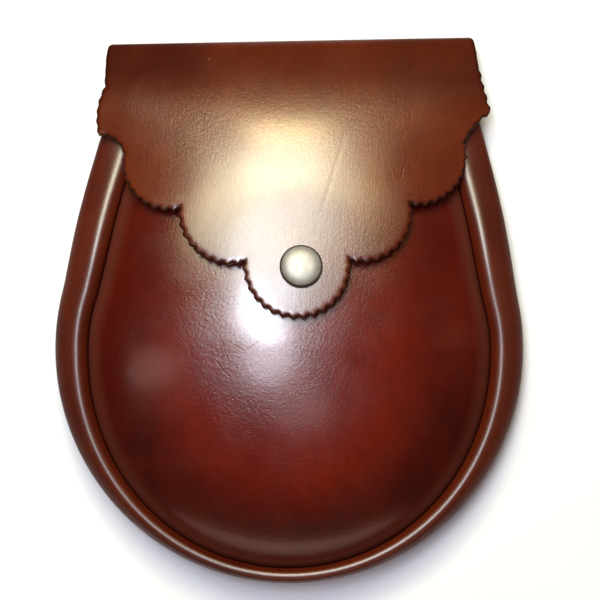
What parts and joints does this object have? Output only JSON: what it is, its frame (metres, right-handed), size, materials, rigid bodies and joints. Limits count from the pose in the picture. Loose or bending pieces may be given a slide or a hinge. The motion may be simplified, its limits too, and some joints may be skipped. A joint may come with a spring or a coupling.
{
  "type": "sporran pouch",
  "caption": "Round leather pouch with a moulded front, a rolled rim and a scalloped flap held by a snap stud, worn at the front on a belt strap.",
  "frame": {"origin": "on the outer face of the flat back, under the middle of the whole pouch", "axes": "+Z out of the moulded front, +Y up to the fold of the flap, +X to the right as seen from the front"},
  "size_m": [0.17, 0.1999, 0.0452],
  "materials": {
    "back_leather": "smooth, plain",
    "rim_leather": "glossy",
    "front_leather": "glossy, moulded",
    "flap_leather": "glossy",
    "antique_nickel": "antique nickel, worn",
    "snap_steel": "plain"
  },
  "bodies": {
    "root": {"back_panel": "back_leather", "gusset": "rim_leather", "front_panel": "front_leather", "flap": "flap_leather", "stud_cap": "antique_nickel", "snap_stud": "snap_steel"}
  },
  "joints": []
}
